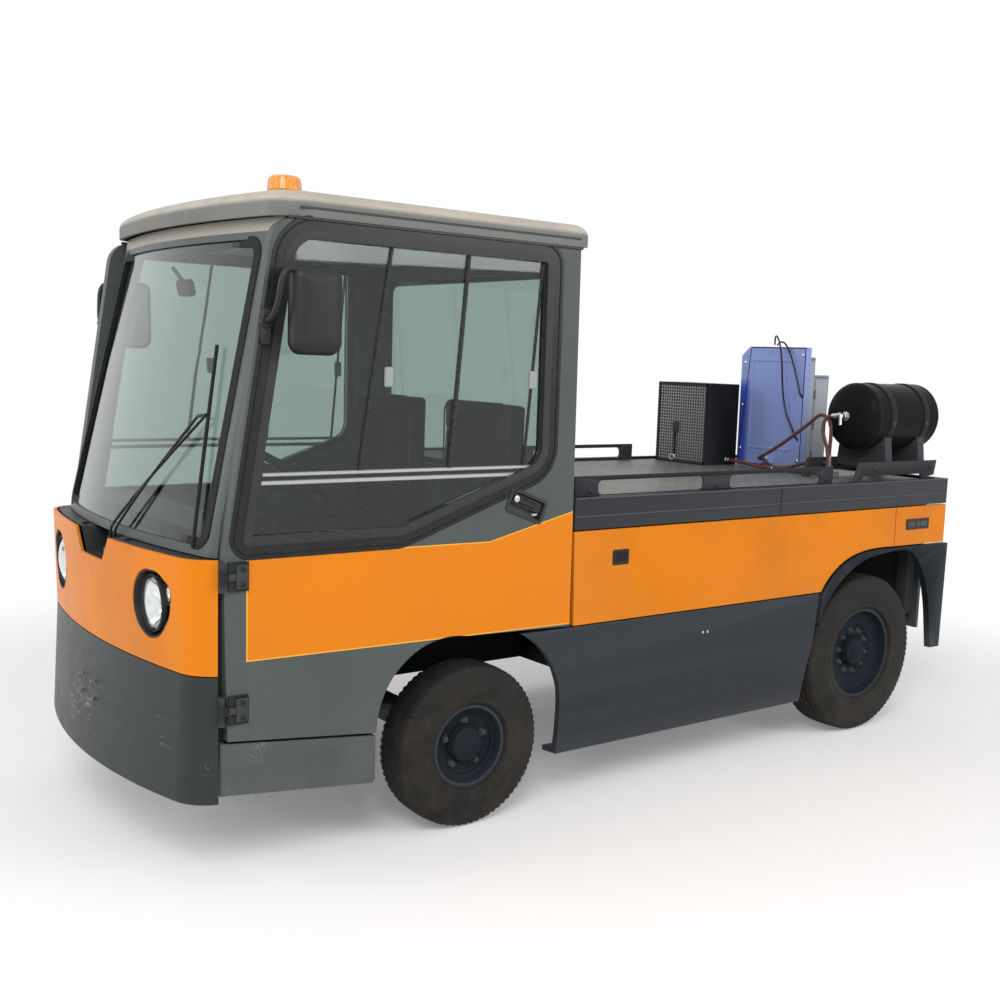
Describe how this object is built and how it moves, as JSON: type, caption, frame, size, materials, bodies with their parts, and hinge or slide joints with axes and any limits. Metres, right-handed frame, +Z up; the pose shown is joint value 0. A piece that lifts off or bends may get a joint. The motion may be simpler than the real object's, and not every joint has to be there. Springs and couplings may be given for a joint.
{
  "type": "electric tow tractor",
  "caption": "Electric airport tow tractor with a glazed two-seat cab, orange side band, flat load deck with a pressure tank and cabinets, and a rear tow coupling.",
  "frame": {"origin": "centre of the bounding box on the ground under the tyres", "axes": "+X forward, +Y to the vehicle's left, +Z up"},
  "size_m": [4.1, 1.74, 2.302],
  "materials": {
    "slate_paint": "satin dark slate-grey paint with scratches at the front corners",
    "roof_grey": "satin mid grey, sun-bleached",
    "orange_paint": "gloss orange paint",
    "cabin_black": "matt black liner",
    "frame_black": "satin black paint, worn on edges",
    "fender_black": "matt moulded plastic, slate black",
    "sill_slate": "satin blue-grey paint with road dirt",
    "black_plastic": "matt black moulding",
    "black_tank": "semi-gloss black paint",
    "box_grey": "light grey paint",
    "blue_paint": "satin blue paint",
    "clear_glass": "lightly tinted clear glass",
    "amber_lens": "ribbed amber lens",
    "red_lens": "red lens",
    "lamp_glass": "clear lamp lens in a black bucket",
    "tread_steel": "grey anti-slip deck plate",
    "hinge_iron": "black casting",
    "coupling_iron": "black casting, worn bright inside",
    "pin_steel": "greased steel",
    "axle_black": "black, oily dust",
    "motor_grey": "dark grey",
    "rim_grey": "dark grey rim paint with dust",
    "seat_black": "black woven seat cover",
    "wheel_black": "soft black rim",
    "tyre_black": "used black tyre with dusty walls"
  },
  "bodies": {
    "chassis": {"air_tank": "black_tank", "beacon": "amber_lens", "cab_frame": "slate_paint", "cab_glazing": "clear_glass", "cab_roof": "roof_grey", "cab_tub": "cabin_black", "chassis_frame": "frame_black", "control_boxes": "box_grey", "cowl": "black_plastic", "dashboard": "black_plastic", "deck_plate": "tread_steel", "deck_rails": "frame_black", "deck_rim": "frame_black", "door_hinges": "hinge_iron", "drive_motor": "motor_grey", "equipment_cabinet": "blue_paint", "front_axle": "axle_black", "front_bumper": "slate_paint", "headlamps": "lamp_glass", "hood_panel": "orange_paint", "leaf_springs": "axle_black", "mesh_box": "frame_black", "rear_axle": "axle_black", "rear_fenders": "fender_black", "rear_panel": "slate_paint", "seat_bases": "cabin_black", "seat_cushions": "seat_black", "side_panels": "orange_paint", "side_steps": "slate_paint", "sill_covers": "sill_slate", "tail_lamps": "red_lens", "tow_coupling": "coupling_iron", "traction_battery": "motor_grey"},
    "left_knuckle": {"knuckle_left": "axle_black"},
    "right_knuckle": {"knuckle_right": "axle_black"},
    "left_front_wheel": {"tyre_front_left": "tyre_black", "rim_front_left": "rim_grey"},
    "right_front_wheel": {"tyre_front_right": "tyre_black", "rim_front_right": "rim_grey"},
    "left_rear_wheel": {"tyre_rear_left": "tyre_black", "rim_rear_left": "rim_grey"},
    "right_rear_wheel": {"tyre_rear_right": "tyre_black", "rim_rear_right": "rim_grey"},
    "steering_wheel_body": {"steering_wheel": "wheel_black"},
    "left_door": {"door_left": "slate_paint", "door_fittings_left": "black_plastic", "door_glass_left": "clear_glass", "door_mirror_left": "black_plastic"},
    "right_door": {"door_right": "slate_paint", "door_fittings_right": "black_plastic", "door_glass_right": "clear_glass", "door_mirror_right": "black_plastic"},
    "drawbar_pin": {"tow_pin": "pin_steel"}
  },
  "joints": [
    {"name": "left_steer", "type": "hinge", "parent": "chassis", "child": "left_knuckle", "pos_m": [0.894, 0.5385, 0.303], "axis": [0, 0, 1], "range_deg": [-35, 35]},
    {"name": "right_steer", "type": "hinge", "parent": "chassis", "child": "right_knuckle", "pos_m": [0.894, -0.5385, 0.303], "axis": [0, 0, 1], "range_deg": [-35, 35]},
    {"name": "steering_wheel_turn", "type": "hinge", "parent": "chassis", "child": "steering_wheel_body", "pos_m": [1.49574, 0.37, 1.28908], "axis": [-0.5274, 0, 0.8496], "range_deg": [-430, 430]},
    {"name": "left_front_spin", "type": "hinge", "parent": "left_knuckle", "child": "left_front_wheel", "pos_m": [0.894, 0.6585, 0.303], "axis": [0, 1, 0], "continuous": true},
    {"name": "right_front_spin", "type": "hinge", "parent": "right_knuckle", "child": "right_front_wheel", "pos_m": [0.894, -0.6585, 0.303], "axis": [0, 1, 0], "continuous": true},
    {"name": "left_rear_spin", "type": "hinge", "parent": "chassis", "child": "left_rear_wheel", "pos_m": [-1.356, 0.646, 0.375], "axis": [0, 1, 0], "continuous": true},
    {"name": "right_rear_spin", "type": "hinge", "parent": "chassis", "child": "right_rear_wheel", "pos_m": [-1.356, -0.646, 0.375], "axis": [0, 1, 0], "continuous": true},
    {"name": "left_door_swing", "type": "hinge", "parent": "chassis", "child": "left_door", "pos_m": [1.857, 0.758, 0.8], "axis": [0, 0, -1], "range_deg": [0, 75]},
    {"name": "right_door_swing", "type": "hinge", "parent": "chassis", "child": "right_door", "pos_m": [1.857, -0.758, 0.8], "axis": [0, 0, 1], "range_deg": [0, 75]},
    {"name": "pin_lift", "type": "slide", "parent": "chassis", "child": "drawbar_pin", "axis": [0, 0, 1], "range_m": [0, 0.26]}
  ],
  "couplings": [
    {"joint": "right_steer", "follows": "left_steer", "ratio": 1},
    {"joint": "steering_wheel_turn", "follows": "left_steer", "ratio": 12}
  ]
}
